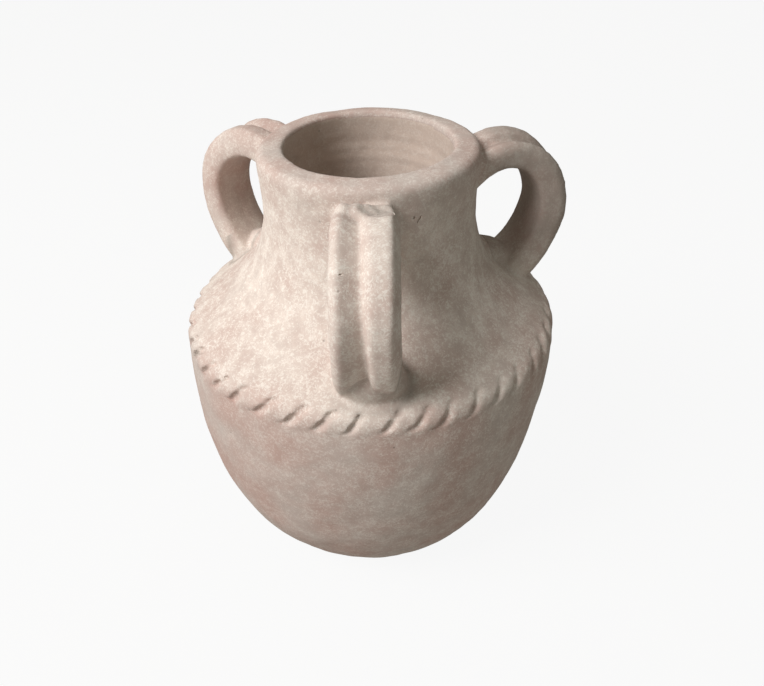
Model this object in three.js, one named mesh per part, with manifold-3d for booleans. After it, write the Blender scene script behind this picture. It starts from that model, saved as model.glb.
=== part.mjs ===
// A hand-built terracotta vase with three handles, as the potter's separate pieces.
// Millimetres, +Z up. The origin is the centre of the underside; the front handle points to -Y.

import * as THREE from 'three';
import { mergeVertices } from 'three/addons/utils/BufferGeometryUtils.js';
import Module from 'manifold-3d';

const wasm = await Module();
wasm.setup();

// Driving sizes of the jar
const HEIGHT = 259;
const BASE_RADIUS = 60;
const BELLY_RADIUS = 109.5;
const BELLY_FULLNESS = 3.5;
const HEEL_ROUNDNESS = 1.31;
const BAND_HEIGHT = 159.5;
const SHOULDER_SWEEP = 2.3;
const MOUTH_RADIUS = 46;
const NECK_WALL = 12.5;
const NECK_WAIST_DROP = 32;
const RIM_FLARE = 1.5;
const RIM_OUTER_ROUNDING = 5;
const RIM_INNER_ROUNDING = 2.5;

// Walls, slab and the lapped joints between the thrown sections; drops count down from the rim
const BODY_WALL = 9;
const FLOOR_THICKNESS = 12;
const SLAB_STEP = 6;
const SLAB_INSET = 2;
const NECK_JOINT_DROP = 47;
const RIM_DEPTH = 13;
const LAP = 5;
const CLEARANCE = 0.3;

// Rope band: a two-strand roll pressed over the seam between belly and shoulder
const ROPE_DEPTH = 9;
const ROPE_HEIGHT = 10;
const ROPE_STANDOUT = 1.8;
const ROPE_LOBES = 44;
const ROPE_LAY_DEPTH = 0.2;

// Handles: two coils side by side, each on a loop from the neck to the shoulder. The reach
// counts out from the neck's wall, the foot's inset in from the belly's widest.
const COIL_WIDTH = 15.7;
const COIL_TOP_THICKNESS = 17.5;
const COIL_FOOT_THICKNESS = 23.5;
const COIL_SQUARENESS = 2.5;
const COIL_ROOT = 5;
const HANDLE_TOP_DROP = 18;
const HANDLE_TOP_SLOPE = 46;
const HANDLE_TOP_PULL = 29;
const HANDLE_REACH_OUT = 47.3;
const HANDLE_REACH_DROP = 44.5;
const HANDLE_CROWN_PULL = 24;
const HANDLE_SIDE_PULL = 13;
const HANDLE_FOOT_INSET = 20.2;
const HANDLE_FOOT_PULL = 12;
const WAD_LIP = 5;
const WAD_REACH = 13;
const HANDLES = [
  { name: 'front', azimuth: 0 },
  { name: 'right', azimuth: 104.5 },
  { name: 'left', azimuth: -121.5 },
];

// Facets
const ROUND_STEPS = 40;
const COIL_STEPS = 18;
const COIL_SIDES = 10;
const ROPE_SIDES = 7;
const ROPE_STEPS_PER_LOBE = 3;
const EDGE_STEPS = 3;
const WAD_SIDES = 12;
const WAD_RINGS = 8;

// Fired clay colours: the whitewashed outside and the barer inside and underside
const WASHED_CLAY = 0xb9a596;
const SHADED_CLAY = 0xa39184;
const BARE_CLAY = 0xb0897a;

function clay(color, roughness) {
  return new THREE.MeshStandardMaterial({ color, roughness, metalness: 0 });
}

const NECK_RADIUS = MOUTH_RADIUS + NECK_WALL;
const RIM_RADIUS = NECK_RADIUS + RIM_FLARE;
const WAIST_HEIGHT = HEIGHT - NECK_WAIST_DROP;
const NECK_JOINT_HEIGHT = HEIGHT - NECK_JOINT_DROP;
const LIP_HEIGHT = HEIGHT - RIM_DEPTH;
const FLOOR_RADIUS = BASE_RADIUS - SLAB_INSET;
const HANDLE_REACH = NECK_RADIUS + HANDLE_REACH_OUT;
const HANDLE_FOOT_RADIUS = BELLY_RADIUS - HANDLE_FOOT_INSET;

// The jar's outline and its hollow follow the same rule with their own sizes:
// a superellipse from the bottom to the corner, a power curve up to the neck.
const OUTSIDE = {
  bottomHeight: 0,
  bottomRadius: BASE_RADIUS,
  cornerHeight: BAND_HEIGHT,
  cornerRadius: BELLY_RADIUS,
  neckRadius: NECK_RADIUS,
  topRadius: RIM_RADIUS,
};
const HOLLOW = {
  bottomHeight: FLOOR_THICKNESS,
  bottomRadius: FLOOR_RADIUS,
  cornerHeight: BAND_HEIGHT - BODY_WALL / 2,
  cornerRadius: BELLY_RADIUS - BODY_WALL,
  neckRadius: MOUTH_RADIUS,
  topRadius: MOUTH_RADIUS,
};

function radiusOf(shape, z) {
  if (z <= shape.cornerHeight) {
    const drop = Math.min((shape.cornerHeight - z) / (shape.cornerHeight - shape.bottomHeight), 1);
    const swell = Math.pow(1 - Math.pow(drop, BELLY_FULLNESS), 1 / HEEL_ROUNDNESS);
    return shape.bottomRadius + (shape.cornerRadius - shape.bottomRadius) * swell;
  }
  if (z <= WAIST_HEIGHT) {
    const fall = (WAIST_HEIGHT - z) / (WAIST_HEIGHT - shape.cornerHeight);
    return shape.neckRadius + (shape.cornerRadius - shape.neckRadius) * Math.pow(fall, SHOULDER_SWEEP);
  }
  const rise = Math.min((z - WAIST_HEIGHT) / (HEIGHT - WAIST_HEIGHT), 1);
  return shape.neckRadius + (shape.topRadius - shape.neckRadius) * Math.sin((rise * Math.PI) / 2);
}

// Lean of the outside, as change of radius with height
function outsideLean(z) {
  const step = 0.01;
  return (radiusOf(OUTSIDE, z + step) - radiusOf(OUTSIDE, z)) / step;
}

// Heights from low to high; a crowding over 1 gathers them near the low end
function heights(low, high, count, crowding = 1) {
  const list = [];
  for (let i = 0; i <= count; i += 1) {
    list.push(low + (high - low) * Math.pow(i / count, crowding));
  }
  return list;
}

const SECTIONS = {
  slab: heights(0, SLAB_STEP, 2),
  lower_body: heights(SLAB_STEP + CLEARANCE, BAND_HEIGHT, 9, 1.7),
  shoulder: heights(BAND_HEIGHT + CLEARANCE, NECK_JOINT_HEIGHT, 7),
  neck: heights(NECK_JOINT_HEIGHT + CLEARANCE, LIP_HEIGHT, 4),
  rim: heights(LIP_HEIGHT + CLEARANCE, HEIGHT - RIM_OUTER_ROUNDING, 1),
};

function along(shape, levels) {
  return levels.map((z) => new THREE.Vector2(radiusOf(shape, z), z));
}

// Halfway through the wall at the top of a lap that starts at this height
function lapRadius(z) {
  return (radiusOf(OUTSIDE, z + LAP) + radiusOf(HOLLOW, z + LAP)) / 2;
}

// A quarter round from one angle to another, in degrees, about a centre in the profile
function quarterRound(centreRadius, centreHeight, rounding, from, to) {
  const list = [];
  for (let i = 0; i <= EDGE_STEPS; i += 1) {
    const angle = THREE.MathUtils.degToRad(from + ((to - from) * i) / EDGE_STEPS);
    const radius = centreRadius + rounding * Math.cos(angle);
    list.push(new THREE.Vector2(radius, centreHeight + rounding * Math.sin(angle)));
  }
  return list;
}

// Turns a profile, listed anticlockwise with the axis at its left, into a closed solid about Z
function turned(profile) {
  return new THREE.LatheGeometry(profile, ROUND_STEPS).rotateX(Math.PI / 2);
}

function closedRing(profile) {
  return turned([...profile, profile[0].clone()]);
}

function baseSlab() {
  const edge = along(OUTSIDE, SECTIONS.slab);
  return turned([
    new THREE.Vector2(0, 0),
    ...edge,
    new THREE.Vector2(FLOOR_RADIUS, SLAB_STEP),
    new THREE.Vector2(FLOOR_RADIUS, FLOOR_THICKNESS),
    new THREE.Vector2(0, FLOOR_THICKNESS),
  ]);
}

function lowerBody() {
  const levels = SECTIONS.lower_body;
  const tongue = lapRadius(BAND_HEIGHT);
  const tongueTop = BAND_HEIGHT + LAP;
  const seat = FLOOR_RADIUS + CLEARANCE;
  const inside = heights(FLOOR_THICKNESS + CLEARANCE, BAND_HEIGHT - BODY_WALL / 2, 7, 1.7);
  return closedRing([
    new THREE.Vector2(seat, levels[0]),
    ...along(OUTSIDE, levels),
    new THREE.Vector2(tongue, BAND_HEIGHT),
    new THREE.Vector2(tongue, tongueTop),
    new THREE.Vector2(radiusOf(HOLLOW, tongueTop), tongueTop),
    ...along(HOLLOW, inside).reverse(),
    new THREE.Vector2(seat, FLOOR_THICKNESS),
  ]);
}

// A wall section that laps over the tongue of the one below and carries a tongue itself
function lappedSection(levels, insideCount) {
  const low = levels[0];
  const high = levels[levels.length - 1];
  const groove = lapRadius(low - CLEARANCE) + CLEARANCE;
  const grooveTop = low + LAP;
  const tongue = lapRadius(high);
  const tongueTop = high + LAP;
  const inside = heights(grooveTop, tongueTop, insideCount);
  return closedRing([
    new THREE.Vector2(groove, low),
    ...along(OUTSIDE, levels),
    new THREE.Vector2(tongue, high),
    new THREE.Vector2(tongue, tongueTop),
    ...along(HOLLOW, inside).reverse(),
    new THREE.Vector2(groove, grooveTop),
  ]);
}

function rim() {
  const levels = SECTIONS.rim;
  const low = levels[0];
  const groove = lapRadius(low - CLEARANCE) + CLEARANCE;
  const grooveTop = low + LAP;
  const outerCentre = RIM_RADIUS - RIM_OUTER_ROUNDING;
  const innerCentre = MOUTH_RADIUS + RIM_INNER_ROUNDING;
  return closedRing([
    new THREE.Vector2(groove, low),
    new THREE.Vector2(radiusOf(OUTSIDE, low), low),
    ...quarterRound(outerCentre, HEIGHT - RIM_OUTER_ROUNDING, RIM_OUTER_ROUNDING, 0, 90),
    ...quarterRound(innerCentre, HEIGHT - RIM_INNER_ROUNDING, RIM_INNER_ROUNDING, 90, 180),
    new THREE.Vector2(MOUTH_RADIUS, grooveTop),
    new THREE.Vector2(groove, grooveTop),
  ]);
}

// Booleans: a closed mesh with merged corners becomes a solid, and a solid a mesh again
function toSolid(geometry) {
  const bare = geometry.clone();
  bare.deleteAttribute('normal');
  bare.deleteAttribute('uv');
  const merged = mergeVertices(bare, 1e-4);
  return new wasm.Manifold(new wasm.Mesh({
    numProp: 3,
    vertProperties: Float32Array.from(merged.attributes.position.array),
    triVerts: Uint32Array.from(merged.index.array),
  }));
}

function toGeometry(solid) {
  const mesh = solid.getMesh();
  const geometry = new THREE.BufferGeometry();
  geometry.setAttribute('position', new THREE.BufferAttribute(new Float32Array(mesh.vertProperties), 3));
  geometry.setIndex(new THREE.BufferAttribute(new Uint32Array(mesh.triVerts), 1));
  geometry.computeVertexNormals();
  return geometry;
}

// The whole outside of the jar as one solid, grown by the clearance, on the same facets.
// Round the slab, where the heel turns under, it grows straight outwards.
function grownJar() {
  const levels = [
    ...SECTIONS.slab,
    ...SECTIONS.lower_body,
    ...SECTIONS.shoulder,
    ...SECTIONS.neck,
    ...SECTIONS.rim,
  ];
  const outline = levels.map((z) => {
    const grown = CLEARANCE * Math.hypot(1, z > SLAB_STEP ? outsideLean(z) : 0);
    return new THREE.Vector2(radiusOf(OUTSIDE, z) + grown, z);
  });
  const top = new THREE.Vector2(RIM_RADIUS + CLEARANCE, HEIGHT);
  return turned([new THREE.Vector2(0, 0), ...outline, top, new THREE.Vector2(0, HEIGHT)]);
}

const GROWN_JAR = grownJar();

// The rope as a whole roll, before the jar's wall is cut out of it
function ropeRoll(grown) {
  const centre = BELLY_RADIUS + ROPE_STANDOUT - ROPE_DEPTH / 2;
  const roll = new THREE.TorusGeometry(centre, 1, ROPE_SIDES, ROPE_LOBES * ROPE_STEPS_PER_LOBE);
  const position = roll.attributes.position;
  for (let i = 0; i < position.count; i += 1) {
    const around = Math.atan2(position.getY(i), position.getX(i));
    const out = Math.hypot(position.getX(i), position.getY(i)) - centre;
    const turn = Math.atan2(position.getZ(i), out);
    const lay = 1 - ROPE_LAY_DEPTH * Math.pow(Math.sin(turn - (around * ROPE_LOBES) / 2), 2);
    const radius = centre + ((ROPE_DEPTH / 2) * lay + grown) * Math.cos(turn);
    const height = BAND_HEIGHT + ((ROPE_HEIGHT / 2) * lay + grown) * Math.sin(turn);
    position.setXYZ(i, radius * Math.cos(around), radius * Math.sin(around), height);
  }
  return roll;
}

function ropeBand() {
  return toGeometry(toSolid(ropeRoll(0)).subtract(toSolid(GROWN_JAR)));
}

// Height of the shoulder's outside at a radius
function shoulderHeight(radius) {
  const share = (radius - NECK_RADIUS) / (BELLY_RADIUS - NECK_RADIUS);
  return WAIST_HEIGHT - (WAIST_HEIGHT - BAND_HEIGHT) * Math.pow(share, 1 / SHOULDER_SWEEP);
}

// Where a handle meets the wall: a place in the handle's plane and the slope it leaves at
const TOP_SEAT = {
  label: 'top',
  thickness: COIL_TOP_THICKNESS,
  x: NECK_RADIUS,
  z: HEIGHT - HANDLE_TOP_DROP,
  slope: THREE.MathUtils.degToRad(HANDLE_TOP_SLOPE),
};
const FOOT_SEAT = {
  label: 'foot',
  thickness: COIL_FOOT_THICKNESS,
  x: HANDLE_FOOT_RADIUS,
  z: shoulderHeight(HANDLE_FOOT_RADIUS),
  slope: Math.atan2(-outsideLean(shoulderHeight(HANDLE_FOOT_RADIUS)), 1),
};

function fromSeat(seat, distance, sideways) {
  const x = seat.x + distance * Math.cos(seat.slope);
  const z = seat.z + distance * Math.sin(seat.slope);
  return new THREE.Vector3(x, sideways, z);
}

// The handle's loop in its own plane: out along +X from the neck, over and down to the shoulder
function handlePath(sideways) {
  const reach = new THREE.Vector3(HANDLE_REACH, sideways, HEIGHT - HANDLE_REACH_DROP);
  const path = new THREE.CurvePath();
  path.add(new THREE.CubicBezierCurve3(
    fromSeat(TOP_SEAT, -COIL_ROOT, sideways),
    fromSeat(TOP_SEAT, HANDLE_TOP_PULL, sideways),
    reach.clone().add(new THREE.Vector3(0, 0, HANDLE_CROWN_PULL)),
    reach,
  ));
  path.add(new THREE.CubicBezierCurve3(
    reach,
    reach.clone().sub(new THREE.Vector3(0, 0, HANDLE_SIDE_PULL)),
    fromSeat(FOOT_SEAT, HANDLE_FOOT_PULL, sideways),
    fromSeat(FOOT_SEAT, -COIL_ROOT, sideways),
  ));
  return path;
}

// Corners of a coil's rounded section: across in millimetres, deep as a share of the thickness
function coilCorners(from, to, shift, grown) {
  const corners = [];
  const power = 2 / COIL_SQUARENESS;
  for (let angle = from; angle <= to; angle += 360 / COIL_SIDES) {
    const across = Math.cos(THREE.MathUtils.degToRad(angle));
    const deep = Math.sin(THREE.MathUtils.degToRad(angle));
    const x = (COIL_WIDTH / 2 + grown) * Math.sign(across) * Math.pow(Math.abs(across), power);
    corners.push(new THREE.Vector2(shift + x, Math.sign(deep) * Math.pow(Math.abs(deep), power)));
  }
  return corners;
}

// A straight bar of that section, bent along the handle and thickened towards its foot
function bentAlongHandle(corners, sideways, grown) {
  const path = handlePath(sideways);
  const options = { depth: 1, steps: COIL_STEPS, bevelEnabled: false };
  const bar = new THREE.ExtrudeGeometry(new THREE.Shape(corners), options);
  const position = bar.attributes.position;
  for (let i = 0; i < position.count; i += 1) {
    const share = position.getZ(i);
    const thickness = THREE.MathUtils.lerp(COIL_TOP_THICKNESS, COIL_FOOT_THICKNESS, share);
    const tangent = path.getTangent(share);
    const outward = new THREE.Vector3(-tangent.z, 0, tangent.x);
    const place = path.getPoint(share);
    place.y += position.getX(i);
    place.addScaledVector(outward, position.getY(i) * (thickness / 2 + grown));
    position.setXYZ(i, place.x, place.y, place.z);
  }
  return bar;
}

const COIL_OFFSET = (COIL_WIDTH + CLEARANCE) / 2;

function wholeCoil(side) {
  const last = 270 - 360 / COIL_SIDES;
  return bentAlongHandle(coilCorners(-90, last, 0, 0), side * COIL_OFFSET, 0);
}

// Both coils' common outline, grown by the clearance, which the wads are cut by
function coilPair() {
  const right = coilCorners(-90, 90, COIL_OFFSET, CLEARANCE);
  const left = coilCorners(90, 270, -COIL_OFFSET, CLEARANCE);
  return bentAlongHandle([...right, ...left], 0, CLEARANCE);
}

// An oval wad of clay round the coils' end, leaning along the coils
function wholeWad(seat) {
  const wad = new THREE.SphereGeometry(1, WAD_SIDES, WAD_RINGS);
  wad.scale(WAD_REACH, COIL_WIDTH + WAD_LIP, seat.thickness / 2 + WAD_LIP);
  wad.rotateY(-seat.slope);
  wad.translate(seat.x, 0, seat.z);
  return wad;
}

// A handle in a group turned to its azimuth, cut by the jar and rope as they lie in that group
function handle({ name, azimuth }) {
  const turn = THREE.MathUtils.degToRad(azimuth - 90);
  const jar = toSolid(GROWN_JAR.clone().rotateZ(-turn));
  const rope = toSolid(ropeRoll(CLEARANCE).rotateZ(-turn));
  const group = new THREE.Group();
  group.rotation.z = turn;
  const coils = toSolid(coilPair());
  for (const [side, label] of [[-1, 'left'], [1, 'right']]) {
    const coil = toSolid(wholeCoil(side)).subtract(jar);
    group.add(piece(`${name}_handle_${label}_coil`, toGeometry(coil), clay(WASHED_CLAY, 0.92)));
  }
  for (const seat of [TOP_SEAT, FOOT_SEAT]) {
    const wad = toSolid(wholeWad(seat)).subtract(jar).subtract(coils).subtract(rope);
    group.add(piece(`${name}_handle_${seat.label}_wad`, toGeometry(wad), clay(WASHED_CLAY, 0.92)));
  }
  return group;
}

function piece(name, geometry, material) {
  const mesh = new THREE.Mesh(geometry, material);
  mesh.name = name;
  return mesh;
}

const vase = new THREE.Group();
const jar = new THREE.Group();
jar.add(piece('base_slab', baseSlab(), clay(BARE_CLAY, 0.95)));
jar.add(piece('lower_body', lowerBody(), clay(SHADED_CLAY, 0.92)));
jar.add(piece('shoulder', lappedSection(SECTIONS.shoulder, 7), clay(WASHED_CLAY, 0.92)));
jar.add(piece('neck', lappedSection(SECTIONS.neck, 3), clay(WASHED_CLAY, 0.92)));
jar.add(piece('rim', rim(), clay(WASHED_CLAY, 0.9)));
jar.add(piece('rope_band', ropeBand(), clay(WASHED_CLAY, 0.92)));
vase.add(jar);
for (const entry of HANDLES) vase.add(handle(entry));

export default vase;
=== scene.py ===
# A hand-built, whitewashed terracotta vase with three double-coil handles, dressed round its
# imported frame. Metres, +Z up; the front handle points to -Y. Lengths below are in millimetres.

import math
import random

import bpy
from mathutils import Matrix, Vector
from mathutils.geometry import interpolate_bezier


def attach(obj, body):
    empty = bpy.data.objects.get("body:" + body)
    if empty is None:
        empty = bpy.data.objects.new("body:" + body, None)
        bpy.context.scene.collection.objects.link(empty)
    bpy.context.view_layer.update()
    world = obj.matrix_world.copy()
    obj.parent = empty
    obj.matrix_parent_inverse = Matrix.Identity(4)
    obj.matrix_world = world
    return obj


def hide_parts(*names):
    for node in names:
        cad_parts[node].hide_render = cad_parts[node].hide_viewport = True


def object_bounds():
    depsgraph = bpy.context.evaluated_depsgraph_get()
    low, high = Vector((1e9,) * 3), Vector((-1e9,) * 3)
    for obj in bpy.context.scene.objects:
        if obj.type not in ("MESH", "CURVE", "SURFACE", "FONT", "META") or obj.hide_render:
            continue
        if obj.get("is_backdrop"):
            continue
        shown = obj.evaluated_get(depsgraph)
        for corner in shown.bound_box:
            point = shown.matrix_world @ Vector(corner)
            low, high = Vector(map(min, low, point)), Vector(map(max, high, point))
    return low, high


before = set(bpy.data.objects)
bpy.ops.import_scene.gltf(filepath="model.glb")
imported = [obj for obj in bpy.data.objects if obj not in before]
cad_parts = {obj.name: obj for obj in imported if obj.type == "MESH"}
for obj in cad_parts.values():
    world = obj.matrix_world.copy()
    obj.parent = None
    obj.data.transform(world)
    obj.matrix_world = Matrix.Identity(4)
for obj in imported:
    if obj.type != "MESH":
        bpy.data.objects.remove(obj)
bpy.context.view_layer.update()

MM = 0.001
CHANCE = random.Random(7)

# Sizes of the jar and its parts, as in the part's source
HEIGHT = 259.0
SLAB_STEP = 6.0
FLOOR_TOP = 12.0
BAND_HEIGHT = 159.5
BELLY = 109.5
NECK_JOINT = 212.0
LIP_HEIGHT = 246.0
# Each handle's name, azimuth, how much lower its crown is, and how far its foot is drawn in
HANDLES = (("front", 0.0, 4.0, 0.0), ("right", 104.5, 2.2, 3.0), ("left", -121.5, 2.3, 0.0))

# The potter's template for the outside: radius and height, from the foot ring to the lip
OUTSIDE = [
    (57.7, -0.9), (61.0, 0.6), (64.4, 2.2), (68.5, 4.2), (72.5, 7.2), (77.1, 11.6),
    (82.5, 17.6), (87.8, 25.2), (92.7, 34.0), (97.1, 43.8), (100.6, 54.0), (103.6, 66.0),
    (105.9, 79.0), (108.0, 93.0), (109.5, 108.0), (110.4, 124.0), (110.7, 138.0),
    (110.2, 147.0), (109.7, 151.0), (110.5, 153.4), (110.7, 156.0), (109.0, 159.2),
    (105.0, 162.1), (100.4, 165.1), (95.3, 168.4), (89.6, 172.3), (83.4, 176.9),
    (77.0, 182.4), (71.4, 187.9), (67.3, 193.7),
    (64.2, 200.0), (61.8, 207.0), (60.0, 214.5), (58.9, 222.0), (58.5, 230.0),
    (58.8, 238.0), (59.4, 246.0), (59.9, 252.0),
]
LIP = [
    (59.7, 255.4), (58.5, 257.5), (56.4, 258.7), (54.0, 259.0), (49.6, 259.3),
    (46.6, 259.4), (45.2, 258.4),
]
# The hollow: from the lip down to the floor
INSIDE = [
    (45.0, 255.0), (45.2, 248.0), (45.8, 238.0), (46.2, 228.0), (46.8, 218.0), (48.0, 210.0),
    (50.2, 203.0), (53.6, 196.5), (58.4, 190.0), (64.8, 183.6), (72.4, 177.0),
    (81.4, 170.4), (90.4, 164.0), (97.0, 157.5), (100.0, 149.0), (100.6, 136.0),
    (100.4, 122.0), (99.4, 106.0), (97.8, 90.0), (95.0, 72.0), (90.8, 56.0),
    (84.8, 42.0), (77.6, 30.0), (69.8, 20.0), (61.0, 14.0), (52.0, 12.2), (38.0, 12.0),
]


def linear(hexadecimal):
    """An sRGB hex colour as linear red, green, blue and alpha."""
    values = [int(hexadecimal[i:i + 2], 16) / 255 for i in (0, 2, 4)]
    return (*(v / 12.92 if v <= 0.04045 else ((v + 0.055) / 1.055) ** 2.4 for v in values), 1.0)


def share_of(value):
    """A value held between 0 and 1."""
    return min(max(value, 0.0), 1.0)


def smoothed(points, step):
    """A line through the points as a bent lath would run, with a point about every step."""
    ends = [points[0], *points, points[-1]]
    line = []
    for before, here, after, beyond in zip(ends, ends[1:], ends[2:], ends[3:]):
        count = max(1, round(math.dist(here, after) / step))
        for i in range(count):
            t = i / count
            line.append(tuple(
                0.5 * (2 * b + (c - a) * t + (2 * a - 5 * b + 4 * c - d) * t ** 2
                       + (3 * b - a - 3 * c + d) * t ** 3)
                for a, b, c, d in zip(before, here, after, beyond)))
    return line + [points[-1]]


# Hand tools

def alone(piece):
    bpy.ops.object.select_all(action="DESELECT")
    piece.select_set(True)
    bpy.context.view_layer.objects.active = piece
    return piece


def edit(piece):
    alone(piece)
    bpy.ops.object.mode_set(mode="EDIT")
    bpy.ops.mesh.select_all(action="SELECT")


def done():
    bpy.ops.object.mode_set(mode="OBJECT")


def placed(name):
    """Names the new piece and puts its place into its mesh."""
    piece = bpy.context.object
    piece.name = piece.data.name = name
    alone(piece)
    bpy.ops.object.transform_apply(location=True, rotation=True, scale=True)
    return piece


def finished(piece, kind, **settings):
    """Adds a modifier and applies it."""
    alone(piece)
    modifier = piece.modifiers.new(kind.title(), kind)
    for key, value in settings.items():
        setattr(modifier, key, value)
    bpy.ops.object.modifier_apply(modifier=modifier.name)
    return piece


def copied(piece, name, turn=0.0):
    """A copy with its own mesh, turned about the jar's axis."""
    alone(piece)
    bpy.ops.object.duplicate()
    copy = bpy.context.object
    copy.rotation_euler.z = math.radians(turn)
    return placed(name)


def joined(name, pieces):
    alone(pieces[0])
    for piece in pieces:
        piece.select_set(True)
    bpy.ops.object.join()
    return placed(name)


def cut(piece, tool, operation="DIFFERENCE"):
    return finished(piece, "BOOLEAN", operation=operation, object=tool, solver="MANIFOLD")


def dropped(*pieces):
    for piece in pieces:
        bpy.data.objects.remove(piece)


def ball(name, place, radii, tilt=(0.0, 0.0, 0.0), segments=24):
    bpy.ops.object.select_all(action="DESELECT")
    bpy.ops.mesh.primitive_uv_sphere_add(
        segments=segments, ring_count=segments // 2, radius=1,
        location=[v * MM for v in place], scale=[v * MM for v in radii],
        rotation=[math.radians(v) for v in tilt])
    return placed(name)


def block(name, low, high):
    """A box between two corners."""
    bpy.ops.object.select_all(action="DESELECT")
    bpy.ops.mesh.primitive_cube_add(
        size=1, location=[(a + b) / 2 * MM for a, b in zip(low, high)],
        scale=[(b - a) * MM for a, b in zip(low, high)])
    return placed(name)


def drawn(name, points):
    """A line drawn point by point, left open in edit mode with all of it selected."""
    bpy.ops.object.select_all(action="DESELECT")
    bpy.ops.mesh.primitive_plane_add(size=MM)
    piece = placed(name)
    edit(piece)
    bpy.ops.mesh.merge(type="CENTER")
    points = [Vector(point) * MM for point in points]
    bpy.ops.transform.translate(value=points[0])
    for here, after in zip(points, points[1:]):
        bpy.ops.mesh.extrude_region_move(TRANSFORM_OT_translate={"value": after - here})
    bpy.ops.mesh.select_all(action="SELECT")
    return piece


def turned(name, template, steps=144):
    """Spins a template, listed from the axis up the outside, into a solid."""
    piece = drawn(name, [(radius, 0, height) for radius, height in template])
    bpy.ops.mesh.spin(steps=steps, angle=math.tau, center=(0, 0, 0), axis=(0, 0, 1))
    bpy.ops.mesh.select_all(action="SELECT")
    bpy.ops.mesh.remove_doubles(threshold=0.01 * MM)
    bpy.ops.mesh.normals_make_consistent(inside=False)
    done()
    return piece


# The jar

def shrunk(template, depth):
    """The outside template, drawn in by a depth square to the wall."""
    inner = []
    for i, (radius, height) in enumerate(template):
        before = template[max(i - 1, 0)]
        after = template[min(i + 1, len(template) - 1)]
        run = Vector((after[0] - before[0], after[1] - before[1])).normalized()
        inner.append((radius - depth * run.y, height + depth * run.x))
    return inner


def closed_solid(name, template, low, high, steps=96):
    """A turned solid filled to the axis, between two heights."""
    rows = [(r, z) for r, z in template if low < z < high]
    ends = (0, low), (rows[0][0], low), (rows[-1][0], high), (0, high)
    return turned(name, [*ends[:2], *rows, *ends[2:]], steps)


def faired(line, passes):
    """Evens out a line's bends, with its ends kept."""
    for _ in range(passes):
        line = [line[0], *[
            tuple((a + 2 * b + c) / 4 for a, b, c in zip(*three))
            for three in zip(line, line[1:], line[2:])], line[-1]]
    return line


# The clay's underside before the bottom is cut level, and where the throwing rings inside end
UNDERSIDE = -1.2
RINGS_END = 250

outside_line = faired(smoothed(OUTSIDE, 2.0), 6)
inside_line = []
for radius, height in smoothed(INSIDE, 1.6):
    ring = 0.18 * math.sin(height / 6.5 * math.tau) + 0.12 * math.sin(height / 15 * math.tau + 1)
    inside_line.append((radius + (ring if height < RINGS_END else 0.0), height))

underside = [(radius, UNDERSIDE) for radius in (0, 20, 40, 52)]
jar = turned("jar_clay", [
    *underside, *outside_line, *smoothed(LIP, 1.5), *inside_line, (0, FLOOR_TOP)])
core = closed_solid("core_tool", shrunk(outside_line, 4.0), -5, HEIGHT + 20)

# The rope band

# Where a finger pressed the grooves: listed on the side that shows, and REST more, evenly but
# for a little chance, on the rest
GROOVES = [
    -55.3, -47.7, -39.7, -29.9, -20.4, -12.2, -3.8, 6.0, 14.0, 21.2, 29.9, 38.4, 46.0, 55.4, 62.6]
REST = 29
# How much higher the rope lies on the right, and lower on the left
ROPE_RISE = 1.3
for k in range(1, REST + 1):
    even = GROOVES[14] + (360 + GROOVES[0] - GROOVES[14]) * k / (REST + 1)
    GROOVES.append(even + CHANCE.uniform(-0.9, 0.9))


def laid_round(pattern, azimuths, place, sway):
    """Copies of one pattern round the ledge, each tilted, sized and placed a little by hand."""
    made = []
    for k, azimuth in enumerate(azimuths):
        alone(pattern)
        bpy.ops.object.duplicate()
        one = bpy.context.object
        grow = 1 + CHANCE.uniform(-sway, sway)
        one.scale = (grow, 1, grow)
        one.rotation_euler.y = math.radians(CHANCE.uniform(-5, 5))
        rise = ROPE_RISE * math.sin(math.radians(azimuth))
        height = place[1] + rise + CHANCE.uniform(-0.5, 0.5)
        one.location = (0, -place[0] * MM, height * MM)
        placed(f"{pattern.name}_{k}")
        one.rotation_euler.z = math.radians(azimuth)
        made.append(placed(f"{pattern.name}_{k}"))
    dropped(pattern)
    return made


# Radius and height of the middle of the strands and of the scoops between them
STRAND_SEAT = (106.8, 154.9)
SCOOP_SEAT = (111.2, 155.6)
# The thin ends of a scoop, low on its left and high on its right: place, radii and slant
TAILS = (
    ((-5.6, -0.2, -4.3), (5.2, 2.9, 1.7), -12),
    ((4.6, 4.6, 5.4), (4.6, 3.2, 1.7), -24),
)


def rope_band():
    """Slanted strands over the ledge, and the scoops pressed between them: each starts flat
    under the strand on its left, climbs between the two and runs out on top."""
    strand = ball("strand", (0, 0, 0), (8.8, 2.7, 3.7), tilt=(0, -36, 20), segments=16)
    scoop = ball("scoop", (0, 0, 0), (7.4, 4.8, 2.4), tilt=(0, -50, 12), segments=16)
    for place, radii, slant in TAILS:
        tail = ball("tail", place, radii, tilt=(0, slant, 12), segments=16)
        cut(scoop, tail, "UNION")
        dropped(tail)
    between = [(a + b) / 2 for a, b in zip(GROOVES, [*GROOVES[1:], GROOVES[0] + 360])]
    strands = laid_round(strand, between, STRAND_SEAT, 0.08)
    return strands, laid_round(scoop, GROOVES, SCOOP_SEAT, 0.14)


# The handles

# The handle's middle line: radius, height and slope where it sits on neck and shoulder, how far
# out and how high it reaches, and how hard the line is pulled at each of those places
TOP_SEAT = (58.5, 241.0, math.radians(46))
FOOT_SEAT = (89.3, 173.4, math.radians(36))
REACH = (105.8, 214.5)
ROOT = 5
TOP_PULL = 29
CROWN_PULL = 24.0
SIDE_PULL = 13
FOOT_PULL = 12
STATIONS = 13
# How thick a coil is at the top, and how much thicker at the foot
TOP_THICKNESS = 17.5
THICKENING = 4.0


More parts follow.
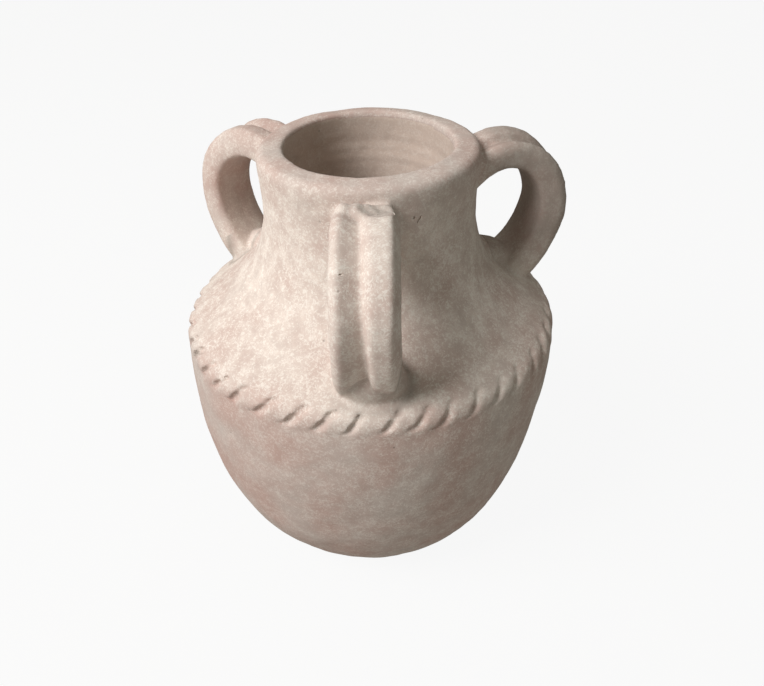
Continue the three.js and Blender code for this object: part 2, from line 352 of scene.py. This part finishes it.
def handle_line(crown_drop, foot_in):
    """The handle's middle line in its own plane, as radius and height."""
    def off(seat, distance):
        radius, height, slope = seat
        return Vector((radius + distance * math.cos(slope), height + distance * math.sin(slope)))

    foot = (FOOT_SEAT[0] - foot_in, FOOT_SEAT[1] + foot_in * 0.65, FOOT_SEAT[2])
    reach = Vector((REACH[0] - foot_in * 0.3, REACH[1] - crown_drop * 0.4))
    up = Vector((0, CROWN_PULL - crown_drop * 0.6))
    top = (TOP_SEAT[0], TOP_SEAT[1] - crown_drop * 0.7, TOP_SEAT[2])
    first = interpolate_bezier(off(top, -ROOT), off(top, TOP_PULL), reach + up, reach, STATIONS)
    second = interpolate_bezier(
        reach, reach - Vector((0, SIDE_PULL)), off(foot, FOOT_PULL), off(foot, -ROOT), STATIONS)
    return [Vector((p[0], p[1])) for p in [*first, *second[1:]]]


def coil(name, section, edges, crown_drop, foot_in):
    """A flattened roll of clay, drawn along the handle's line from the neck to the shoulder.
    edges gives its two side edges at the top and at the foot, across the handle."""
    line = handle_line(crown_drop, foot_in)
    last = len(line) - 1

    def lean(i):
        run = line[min(i + 1, last)] - line[max(i - 1, 0)]
        return math.atan2(run.y, run.x)

    def spread(i):
        share = i / last
        low = edges[0][0] + (edges[1][0] - edges[0][0]) * share
        high = edges[0][1] + (edges[1][1] - edges[0][1]) * share
        return (low + high) / 2, high - low

    def thick(i):
        return TOP_THICKNESS + THICKENING * i / last

    def station(i):
        return Vector((spread(i)[0], -line[i].x, line[i].y)) * MM

    roll = drawn(name, [(x * spread(0)[1], y * thick(0), 0) for x, y in section])
    bpy.ops.mesh.edge_face_add()
    bpy.ops.mesh.bevel(offset=2.0 * MM, segments=3, affect="VERTICES")
    done()
    roll.rotation_euler.x = math.pi / 2 - lean(0)
    roll.location = station(0)
    placed(name)
    edit(roll)
    for i in range(1, last + 1):
        step = station(i) - station(i - 1)
        bpy.ops.mesh.extrude_region_move(TRANSFORM_OT_translate={"value": step})
        turn = lean(i) - lean(i - 1)
        bpy.ops.transform.rotate(value=turn, orient_axis="X", center_override=station(i))
        wide = spread(i)[1] / spread(i - 1)[1]
        deep = thick(i) / thick(i - 1)
        bpy.ops.transform.resize(value=(wide, deep, deep), center_override=station(i))
    bpy.ops.mesh.select_all(action="SELECT")
    bpy.ops.mesh.normals_make_consistent(inside=False)
    done()
    return roll


# Corners of the two coils' sections as shares of width and thickness: the left one has a ridge
# near its outer edge and falls to the groove, the right one is broad and flat
LEFT_SECTION = [
    (-0.5, -0.3), (0.0, -0.36), (0.52, -0.36), (0.53, 0.2), (-0.36, 0.56), (-0.56, 0.32)]
RIGHT_SECTION = [
    (-0.52, -0.36), (0.0, -0.36), (0.5, -0.3), (0.53, 0.1), (0.27, 0.58), (-0.42, 0.56),
    (-0.55, 0.4)]


# The pressed-down lump at each foot: its place and radii, across, along and square to the wall
FOOT_LUMPS = {
    "front": ((1.3, -92.2, 172.4), (18.6, 12.2, 12.0)),
    "right": ((0, -85.0, 173.0), (17.0, 10.0, 9.0)),
    "left": ((0, -88.0, 173.0), (17.0, 10.0, 9.0)),
}


def handle(name, azimuth, crown_drop, foot_in):
    front = name == "front"
    groove = (-1.1, 3.1) if front else (0.0, 0.0)
    left = coil("left_roll", LEFT_SECTION, ((-15.5, groove[0] + 0.5), (-16.0, groove[1] + 0.5)),
                crown_drop, foot_in)
    right = coil("right_roll", RIGHT_SECTION, ((groove[0] - 0.5, 15.0), (groove[1] - 0.5, 16.2)),
                 crown_drop, foot_in)
    lumps = [
        ball("top_lump", (0, -61.0, 241.0 - crown_drop * 0.7), (16.0, 7.0, 8.5), (30, 0, 0)),
        ball("foot_lump", *FOOT_LUMPS[name], (31, 0, 0)),
        ball("crotch", (0, -79.0, 181.0), (13.0, 13.0, 7.0), (31, 0, 0)) if front
        else ball("crotch", (0, -76.5, 183.0), (13.0, 13.0, 7.5), (36, 0, 0)),
    ]
    if front:
        lumps.append(ball("thumb_lump", (-10.8, -68.4, 252.6), (3.5, 4.4, 3.2)))
        lumps.append(ball("smear", (-3.8, -68.6, 251.8), (5.5, 5.5, 3.0), (10, 8, 0)))
    for piece in [left, right, *lumps]:
        cut(piece, core)
    raw = [copied(piece, f"{name}_{piece.name}", azimuth) for piece in [left, right, *lumps]]
    dropped(left, right, *lumps)
    return raw


strands, scoops = rope_band()
# The top of the front handle's right coil: pressed flat against the neck, with crumbs left there
PRESS_PLACE = (5.2, -69.2, 256.6)
PRESS_RADII = (10.6, 10.4, 5.2)
press = ball("press", PRESS_PLACE, PRESS_RADII)
crumbs = []
for _ in range(12):
    x, y = CHANCE.uniform(-1, 11), CHANCE.uniform(-74.5, -63.5)
    across = (x - PRESS_PLACE[0]) / PRESS_RADII[0]
    along = (y - PRESS_PLACE[1]) / PRESS_RADII[1]
    low = PRESS_PLACE[2] - PRESS_RADII[2] * math.sqrt(1 - across ** 2 - along ** 2)
    radii = [CHANCE.uniform(0.8, 1.5) for _ in range(3)]
    crumbs.append(ball("crumb", (x, y, low), radii, segments=8))
scoops = joined("scoops", [*scoops, press])
crumbs = joined("crumbs", crumbs)

clay = [jar, *strands]
for handle_name, azimuth, crown_drop, foot_in in HANDLES:
    clay += handle(handle_name, azimuth, crown_drop, foot_in)
clay = joined("clay", clay)


# Smoothing by hand

def unevenness(name, grain):
    texture = bpy.data.textures.new(name, "CLOUDS")
    texture.noise_scale = grain * MM
    texture.noise_depth = 1
    return texture


# Where a thumb drew the clay round the corner between the neck and each side handle's foot
CORNERS = [
    Vector((74 * math.sin(math.radians(turn)), -74 * math.cos(math.radians(turn)), 189)) * MM
    for _, turn, _, _ in HANDLES[1:]]
CORNER_REACH = 15 * MM
# Where the front handle's coils run out into their lump
FRONT_FOOT = Vector((1.3, -98.0, 170.0)) * MM
FOOT_REACH = 13 * MM
FOOT_SHARE = 0.45
# Strokes of the thumb there on a skin of 1 mm grain, and fewer the coarser it is
THUMB_STROKES = 90
# The hollows and swellings of a palm and of fingers, and how deep they go
UNEVENNESS = (
    (unevenness("broad_unevenness", 34), 1.3 * MM),
    (unevenness("finger_unevenness", 9), 0.45 * MM),
)


def hand_smoothed(name, voxel, strokes, low, high):
    """The joined clay between two heights drawn into one skin, with the scoops pressed in, and
    stroked smooth."""
    piece = copied(clay, name)
    finished(piece, "REMESH", mode="VOXEL", voxel_size=voxel * MM)
    stretch = block("stretch", (-150, -150, low), (150, 150, high))
    cut(piece, stretch, "INTERSECT")
    dropped(stretch)
    cut(piece, scoops)
    piece = joined(name, [piece, copied(crumbs, "dabs")])
    finished(piece, "REMESH", mode="VOXEL", voxel_size=voxel * MM)
    finished(piece, "SMOOTH", factor=0.5, iterations=strokes)
    thumbed = piece.vertex_groups.new(name="thumbed")
    for corner in CORNERS:
        near = [v.index for v in piece.data.vertices if (v.co - corner).length < CORNER_REACH]
        thumbed.add(near, 1.0, "REPLACE")
    foot = [v.index for v in piece.data.vertices if (v.co - FRONT_FOOT).length < FOOT_REACH]
    thumbed.add(foot, FOOT_SHARE, "REPLACE")
    thumb_strokes = round(THUMB_STROKES / voxel ** 2)
    finished(piece, "SMOOTH", factor=0.5, iterations=thumb_strokes, vertex_group="thumbed")
    for texture, strength in UNEVENNESS:
        finished(piece, "DISPLACE", texture=texture, texture_coords="LOCAL",
                 direction="NORMAL", mid_level=0.5, strength=strength)
    return piece


# The upper half is worked finer, down to below the rope, and the lower one up to above it:
# the size of a voxel and the strokes of each
fine_work, coarse_work = (1.15, 3), (1.8, 2)
fine = hand_smoothed("fine_clay", *fine_work, 138, 280)
coarse = hand_smoothed("coarse_clay", *coarse_work, -20, 174)


# The lines along which the pieces meet

def part_of(whole, name, tool):
    """What of the clay lies in the tool, as a piece of its own."""
    return cut(copied(whole, name), tool, "INTERSECT")


def without_crumbs(piece):
    """Keeps the largest lump of a piece and drops the loose crumbs that a cut has left."""
    alone(piece)
    bpy.ops.mesh.separate(type="LOOSE")
    lumps = sorted(bpy.context.selected_objects, key=lambda lump: len(lump.data.vertices))
    dropped(*lumps[:-1])
    return lumps[-1]


rope_zone = turned("rope_zone", [
    (104, 150.5), (125, 150.5), (125, 177.5), (112, 177.5), (97.5, 164.7), (104, 150.5)])
around = closed_solid("around_tool", shrunk(outside_line, -2.0), -5, HEIGHT + 20)
pieces = {"rope_band": part_of(fine, "band", rope_zone)}
tools = [rope_zone]

for handle_name, azimuth, crown_drop, foot_in in HANDLES:
    front = handle_name == "front"
    drop = crown_drop * 0.7
    reach = block("reach", (-27, -128, 150), (27, -50, 264))
    cut(reach, around)
    seats = {
        "top_wad": ball("top_patch", (0, -59.0, 240.0 - drop), (22, 13, 15), segments=48),
        "foot_wad": ball("foot_patch", (0.8, foot_in - 88.5, 175.4), (26, 24, 16), (31, 0, 0),
                         segments=48),
    }
    right_side = block("right_side", (-3.5 if front else 0, -140, 140), (40, -40, 270))
    if front:
        low_edge = [v.index for v in right_side.data.vertices if v.co.x < 0 and v.co.z < 0.2]
        alone(right_side)
        bpy.ops.object.mode_set(mode="EDIT")
        bpy.ops.mesh.select_all(action="DESELECT")
        done()
        for index in low_edge:
            right_side.data.vertices[index].select = True
        bpy.ops.object.mode_set(mode="EDIT")
        bpy.ops.transform.translate(value=(7.4 * MM, 0, 0))
        done()
    for tool in [reach, right_side, *seats.values()]:
        tool.rotation_euler.z = math.radians(azimuth)
        alone(tool)
        bpy.ops.object.transform_apply(location=True, rotation=True, scale=True)
    coils = part_of(fine, "coils", reach)
    for tool in (*seats.values(), rope_zone):
        cut(coils, tool)
    pieces[f"{handle_name}_handle_right_coil"] = part_of(coils, "right", right_side)
    pieces[f"{handle_name}_handle_left_coil"] = cut(coils, right_side)
    for wad, tool in seats.items():
        cut(tool, core)
        cut(tool, rope_zone)
        pieces[f"{handle_name}_handle_{wad}"] = part_of(fine, wad, tool)
        tools.append(tool)
    tools.append(reach)
    dropped(right_side)

for skin in (fine, coarse):
    for tool in tools:
        cut(skin, tool)

slab = turned("slab_tool", [(0, 0), (90, 0), (90, SLAB_STEP), (58, SLAB_STEP), (58, 17), (0, 17)])
pieces["base_slab"] = part_of(coarse, "slab", slab)
cut(coarse, slab)
heights = (0, BAND_HEIGHT, NECK_JOINT, LIP_HEIGHT, 280)
for section, low, high in zip(("lower_body", "shoulder", "neck", "rim"), heights, heights[1:]):
    stretch = block("stretch", (-150, -150, low), (150, 150, high))
    pieces[section] = part_of(coarse if section == "lower_body" else fine, section, stretch)
    dropped(stretch)
dropped(clay, core, scoops, crumbs, fine, coarse, around, slab, *tools)


# The lean

# The pot leans a little, as a hand-built one does, and wavers sideways as it rises
LEAN = math.tan(math.radians(1.2))
DRIFT = [
    (0, 2.0), (25, 0.8), (60, -0.4), (95, 0.2), (130, 1.2), (160, 1.2), (215, 0.7), (262, 0.7)]


def lean_x(height):
    """How far the pot wavers sideways at a height."""
    for (z0, x0), (z1, x1) in zip(DRIFT, DRIFT[1:]):
        if height <= z1:
            t = share_of((height - z0) / (z1 - z0))
            return x0 + (x1 - x0) * t * t * (3 - 2 * t)
    return DRIFT[-1][1]


# How far the mouth is drawn back, the radius at which the pull ends and over how much it fades,
# the height at which it starts and over how much it grows
MOUTH_PULL = 3.2
MOUTH_RADIUS = 45
MOUTH_REACH, MOUTH_FADE = 58, 11
MOUTH_START, MOUTH_RISE = 215, 30


def leaned(piece):
    """Leans the piece with the whole pot, and draws the mouth open towards the back."""
    for vertex in piece.data.vertices:
        x, y, z = vertex.co
        back = 0.0
        if y > 0:
            inner = share_of((MOUTH_REACH - math.hypot(x, y) / MM) / MOUTH_FADE)
            rise = share_of((z / MM - MOUTH_START) / MOUTH_RISE)
            back = MOUTH_PULL * inner * y / (MOUTH_RADIUS * MM) * rise
        raised = LEAN * x * share_of(z / (HEIGHT * MM))
        vertex.co = (x + lean_x(z / MM) * MM, y + back * MM, z + raised)


for name in pieces:
    piece = pieces[name] = without_crumbs(pieces[name])
    piece.name = piece.data.name = f"clay_{name}"
    leaned(piece)

# Small hurts: a slit in the left coil, a pit and a scratch by the front handle, chips elsewhere
NICKS = [
    ("front_handle_left_coil", (-9.8, -104.4, 240.1), (1.3, 0.9, 0.4), (0, 8, 0)),
    ("front_handle_right_coil", (13.1, -71.8, 253.6), (0.8, 1.6, 1.4), (0, 0, 20)),
    ("neck", (25.7, -53.4, 240.8), (0.5, 1.1, 2.4), (0, 28, 0)),
    ("neck", (23.2, -54.8, 242.2), (0.7, 1.0, 1.0), (0, 0, 0)),
    ("neck", (-41.0, 44.2, 226.0), (1.2, 1.0, 0.8), (0, 30, 0)),
    ("shoulder", (74.5, 22.0, 181.9), (1.4, 0.9, 0.9), (0, 0, 15)),
    ("lower_body", (-54.2, -95.8, 111.0), (0.9, 0.8, 1.2), (0, 20, 0)),
    ("lower_body", (77.0, 68.4, 60.0), (1.5, 1.2, 0.7), (0, -15, 0)),
    ("lower_body", (16.0, -107.7, 92.0), (0.5, 0.8, 2.4), (0, 40, 0)),
]
for name, place, radii, tilt in NICKS:
    nick = ball("nick", place, radii, tilt, segments=12)
    cut(pieces[name], nick)
    dropped(nick)
for piece in pieces.values():
    alone(piece)
    bpy.ops.object.shade_smooth_by_angle(angle=math.radians(40))


# Finish

def node(tree, kind, links=None, values=None, **settings):
    """Adds a node with its settings, the values of its inputs and its links."""
    new = tree.nodes.new(kind)
    for key, value in settings.items():
        setattr(new, key, value)
    for socket, value in (values or {}).items():
        new.inputs[socket].default_value = value
    for socket, source in (links or {}).items():
        tree.links.new(source, new.inputs[socket])
    return new


# Grain of the finish in millimetres. The real pot's flecks and grit are finer than these: they
# are drawn as coarse as they need to be to show.
PATCH_GRAIN = 34
CLOUD_GRAIN = 9
FLECK_GRAIN = 1.5
GRIT_GRAIN = 1.1
PORE_SPACING = 15
GRIT_DEPTH = 0.25


def washed_terracotta():
    # Terracotta fired pinkish beige and rubbed with thin whitewash: matte, with pale flecks
    # where the wash stays in the pores and warmer clay where it was rubbed off.
    material = bpy.data.materials.new("whitewashed terracotta, rubbed by hand")
    material.use_nodes = True
    tree = material.node_tree
    tree.nodes.clear()
    place = node(tree, "ShaderNodeTexCoord").outputs["Object"]
    wash = node(tree, "ShaderNodeAttribute", attribute_name="wash").outputs["Fac"]
    shade_and_dust = node(tree, "ShaderNodeAttribute", attribute_name="shade_and_dust").outputs["Fac"]

    patches = node(tree, "ShaderNodeTexNoise", {"Vector": place},
                   {"Scale": 1 / (PATCH_GRAIN * MM), "Detail": 3, "Roughness": 0.55}).outputs["Fac"]
    clouds = node(tree, "ShaderNodeTexNoise", {"Vector": place},
                  {"Scale": 1 / (CLOUD_GRAIN * MM), "Detail": 4, "Roughness": 0.6}).outputs["Fac"]
    flecks = node(tree, "ShaderNodeTexNoise", {"Vector": place}, {
        "Scale": 1 / (FLECK_GRAIN * MM), "Detail": 2, "Roughness": 0.6, "Distortion": 1.2,
    }).outputs["Fac"]
    grit = node(tree, "ShaderNodeTexNoise", {"Vector": place},
                {"Scale": 1 / (GRIT_GRAIN * MM), "Detail": 3, "Roughness": 0.65}).outputs["Fac"]
    pores = node(tree, "ShaderNodeTexVoronoi", {"Vector": place}, {
        "Scale": 1 / (PORE_SPACING * MM)})

    rubbed = node(tree, "ShaderNodeMapRange", {"Value": patches},
                  {"From Min": 0.38, "From Max": 0.66}).outputs[0]
    body = node(tree, "ShaderNodeMix", {0: rubbed}, {6: linear("b3968c"), 7: linear("b6a79f")},
                data_type="RGBA").outputs[2]
    # Below zero the attribute marks the hollow, bare clay wiped smooth on the wheel
    hollow = node(tree, "ShaderNodeMapRange", {"Value": wash},
                  {"From Min": 0.0, "From Max": -0.2}).outputs[0]
    bare = node(tree, "ShaderNodeMix", {0: hollow, 6: body}, {7: linear("c3b0a3")},
                data_type="RGBA").outputs[2]
    cloudy = node(tree, "ShaderNodeMapRange", {"Value": clouds},
                  {"From Min": 0.34, "From Max": 0.66, "To Min": 0.5}).outputs[0]
    thick = node(tree, "ShaderNodeMapRange", {"Value": patches},
                 {"From Min": 0.35, "From Max": 0.65, "To Min": 0.7, "To Max": 1.15}).outputs[0]
    coated = node(tree, "ShaderNodeMath", {0: cloudy, 1: thick}, operation="MULTIPLY").outputs[0]
    veil = node(tree, "ShaderNodeMath", {0: coated, 1: wash}, operation="MULTIPLY",
                use_clamp=True).outputs[0]
    veiled = node(tree, "ShaderNodeMix", {0: veil, 6: bare}, {7: linear("dacbc0")},
                  data_type="RGBA").outputs[2]
    # Flecks gather where the clouds of wash are thick
    gathered = node(tree, "ShaderNodeMath", {0: clouds, 2: flecks}, {1: 0.4},
                    operation="MULTIPLY_ADD").outputs[0]
    speck = node(tree, "ShaderNodeMapRange", {"Value": gathered},
                 {"From Min": 0.68, "From Max": 0.84}).outputs[0]
    strength = node(tree, "ShaderNodeMapRange", {"Value": wash},
                    {"To Min": 0.2, "To Max": 0.6}).outputs[0]
    fleck_share = node(tree, "ShaderNodeMath", {0: speck, 1: strength},
                       operation="MULTIPLY").outputs[0]
    flecked = node(tree, "ShaderNodeMix", {0: fleck_share, 6: veiled}, {7: linear("ebe5dc")},
                   data_type="RGBA").outputs[2]
    # A few pores, where a grain of grit came out
    pore = node(tree, "ShaderNodeMapRange", {"Value": pores.outputs["Distance"]},
                {"From Min": 0.02, "From Max": 0.055, "To Min": 1.0, "To Max": 0.0}).outputs[0]
    dark = node(tree, "ShaderNodeMath", {0: pore}, {1: 0.45}, operation="MULTIPLY").outputs[0]
    pored = node(tree, "ShaderNodeMix", {0: dark, 6: flecked}, {7: linear("6d5f55")},
                 data_type="RGBA").outputs[2]
    # Grey-brown painted shade, mixed in by the attribute: the neck's shadow on the right handle,
    # which is also greyer, shade in the corners round each foot, and shade with dirtier wash at the
    # front handle's press mark
    colour = node(tree, "ShaderNodeMix", {0: shade_and_dust, 6: pored}, {7: linear("877f76")},
                  data_type="RGBA").outputs[2]

    pitted = node(tree, "ShaderNodeMath", {0: grit, 1: pore}, operation="SUBTRACT").outputs[0]
    bump = node(tree, "ShaderNodeBump", {"Height": pitted},
                {"Strength": 0.5, "Distance": GRIT_DEPTH * MM}).outputs["Normal"]
    shader = node(tree, "ShaderNodeBsdfPrincipled", {"Base Color": colour, "Normal": bump},
                  {"Roughness": 0.92, "Specular IOR Level": 0.3})
    node(tree, "ShaderNodeOutputMaterial", {"Surface": shader.outputs["BSDF"]})
    return material


# What marks the hollow in the wash attribute, and how far behind its line the mark reaches
HOLLOW_WASH = -0.25
HOLLOW_DEPTH = 6.5
# How much wash is left, by height: thin low on the belly, thick on the shoulder and neck.
WASH = [
    (0, 0.2), (60, 0.3), (150, 0.35), (162, 0.9), (200, 1.0), (240, 0.9), (252, 0.7),
    (258, 0.38), (262, 0.25),
]
# Below the rope the belly is painted lighter on its shaded right and as much darker on its lit
# left: painted light and shade
PAINTED_SIDE_SHADING = 0.25


def share_at(line, height):
    """The value of a line of (height, value) pairs at a height."""
    for (z0, v0), (z1, v1) in zip(line, line[1:]):
        if height <= z1:
            return v0 + (v1 - v0) * max(height - z0, 0) / (z1 - z0)
    return line[-1][1]


# The hollow's radius by height, closed over the lip
HOLLOW = [(0, 0.0), *[(z, r) for r, z in reversed(INSIDE)], (256.5, 45.0), (257.5, 0.0)]

# The wash left on each handle, and the painted shade on it: the neck's shadow on the right handle,
# which is also greyer
HANDLE_WASH_AND_SHADE = {"front": (0.9, 0.0), "right": (0.55, 0.45), "left": (0.5, 0.0)}


def worn(name, vertex):
    """The wash left on a point, and the painted shade on it."""
    radius, height = math.hypot(vertex.co.x, vertex.co.y) / MM, vertex.co.z / MM
    wash = share_at(WASH, height)
    # Painted light and shade below the rope: lighter on the shaded right, darker on the lit left
    below_rope = share_of((162 - height) / 12)
    wash = max(wash + PAINTED_SIDE_SHADING * vertex.co.x / MM / BELLY * below_rope, 0.0)
    if "handle" in name:
        # The side towards the jar is rubbed bare, and the ends keep the wash of the jar
        inward = -(vertex.normal.x * vertex.co.x + vertex.normal.y * vertex.co.y) / radius / MM
        share = share_of(min((height - 178) / 24, (radius - 62) / 12))
        # The second value is painted shade: the neck's shadow on the right handle
        amount, handle_shade = HANDLE_WASH_AND_SHADE[name.split("_")[0]]
        bare = 1 - 0.8 * share_of((inward + 0.2) * 2)
        return wash + (amount * bare - wash) * share, handle_shade * share
    if radius < share_at(HOLLOW, height) + HOLLOW_DEPTH:
        return HOLLOW_WASH, 0.0
    if vertex.normal.z < -0.6 and height < 10:
        return 0.0, 0.0
    return wash, 0.0


# Where shade is painted: at the press mark, with dirtier wash there too, by the distance from its
# middle, and round each foot up
#  to a height, by the distance from a line just outside the lump as a share of its size
PRESS_SHADE = (6.0, -69.0, 252.5)
PRESS_SHADE_REACH = 12
FOOT_SHADE_TOP = 192
FOOT_SHADE_LINE = 1.1
FOOT_SHADE_REACH = 0.28
CORNER_SHADE = 0.55


def corner_shade(vertex):
    """Painted shade with dirtier wash where the front handle's top was pressed on, and painted
    shade in the corner round each foot, by how near the point is to the lump's edge. It is darker
    on the foot's right, where the handle's shadow falls."""
    most = 1 - math.dist(vertex.co / MM, PRESS_SHADE) / PRESS_SHADE_REACH
    for handle_name, azimuth, _, _ in HANDLES:
        place, radii = FOOT_LUMPS[handle_name]
        turn = math.radians(azimuth)
        x = (vertex.co.x * math.cos(turn) + vertex.co.y * math.sin(turn)) / MM - lean_x(170)
        y = (vertex.co.y * math.cos(turn) - vertex.co.x * math.sin(turn)) / MM
        edge = math.hypot((x - place[0]) / radii[0], (y - place[1]) / radii[1])
        side = min(max((x - place[0]) / radii[0], -1.0), 1.0)
        near = 1 - abs(edge - FOOT_SHADE_LINE) / FOOT_SHADE_REACH
        if vertex.co.z / MM < FOOT_SHADE_TOP:
            most = max(most, near * (0.65 + 0.35 * side))
    return CORNER_SHADE * max(most, 0.0)


washed = washed_terracotta()
for name, piece in pieces.items():
    washes, shades_and_dust = zip(*[worn(name, vertex) for vertex in piece.data.vertices])
    # Painted shade in the corners round the feet and at the press mark
    if name in ("shoulder", "neck", "rope_band", "front_handle_right_coil") or "wad" in name:
        shades_and_dust = [max(shade_and_dust, corner_shade(vertex))
                  for shade_and_dust, vertex in zip(shades_and_dust, piece.data.vertices)]
    for layer, values in (("wash", washes), ("shade_and_dust", shades_and_dust)):
        piece.data.attributes.new(layer, "FLOAT", "POINT").data.foreach_set("value", values)
    piece.data.materials.clear()
    piece.data.materials.append(washed)
    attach(piece, "root")
    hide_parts(name)

# Floor, light and camera

bpy.ops.object.select_all(action="DESELECT")
bpy.ops.mesh.primitive_plane_add(size=6)
floor = placed("floor")
floor_material = bpy.data.materials.new("pale studio paper")
floor_material.use_nodes = True
tree = floor_material.node_tree
tree.nodes.clear()
paper = node(tree, "ShaderNodeBsdfDiffuse", values={"Color": linear("b4b2ae")}).outputs[0]
glow = node(tree, "ShaderNodeEmission", values={"Strength": 1.0}).outputs[0]
path = node(tree, "ShaderNodeLightPath")
share = node(tree, "ShaderNodeMath", {0: path.outputs["Is Camera Ray"]}, {1: 0.92},
             operation="MULTIPLY").outputs[0]
mix = node(tree, "ShaderNodeMixShader", {0: share, 1: paper, 2: glow})
node(tree, "ShaderNodeOutputMaterial", {"Surface": mix.outputs[0]})
floor.data.materials.append(floor_material)
floor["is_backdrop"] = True

world = bpy.data.worlds.new("soft room")
bpy.context.scene.world = world
world.use_nodes = True
tree = world.node_tree
tree.nodes.clear()
path = node(tree, "ShaderNodeLightPath")
room = node(tree, "ShaderNodeBackground", values={"Color": linear("eeefe4"), "Strength": 0.29})
backdrop = node(tree, "ShaderNodeBackground", values={"Color": linear("ffffff"), "Strength": 1.0})
mix = node(tree, "ShaderNodeMixShader", {
    0: path.outputs["Is Camera Ray"], 1: room.outputs[0], 2: backdrop.outputs[0]})
node(tree, "ShaderNodeOutputWorld", {"Surface": mix.outputs[0]})


def lamp(name, place, aim, size, watts, colour):
    light = bpy.data.lights.new(name, "AREA")
    light.size = size
    light.energy = watts
    light.color = colour
    lamp_object = bpy.data.objects.new(name, light)
    bpy.context.scene.collection.objects.link(lamp_object)
    lamp_object.location = place
    lamp_object.rotation_euler = (Vector(aim) - Vector(place)).to_track_quat("-Z", "Y").to_euler()


# One large soft window, high on the left and in front
lamp("window", (-1.038, -0.624, 1.309), (0, 0, 0.16), 0.8, 31, (1.0, 1.0, 1.0))

# The photo's camera: its focal length and the photo's width are in pixels
FOCAL_LENGTH = 700
PHOTO_WIDTH = 764
SENSOR = 36
camera_data = bpy.data.cameras.new("camera")
camera_data.sensor_width = SENSOR
camera_data.lens = SENSOR * FOCAL_LENGTH / PHOTO_WIDTH
camera_data.clip_start = 0.01
camera = bpy.data.objects.new("camera", camera_data)
bpy.context.scene.collection.objects.link(camera)
camera.matrix_world = (
    Matrix.Translation((0.0069, -0.3606, 0.3935))
    @ Matrix.Rotation(math.radians(-0.21), 4, "Z")
    @ Matrix.Rotation(math.radians(90 - 36.473), 4, "X")
    @ Matrix.Rotation(math.radians(0.278), 4, "Z"))
bpy.context.scene.camera = camera
bpy.context.scene.view_settings.view_transform = "Standard"

low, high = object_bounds()
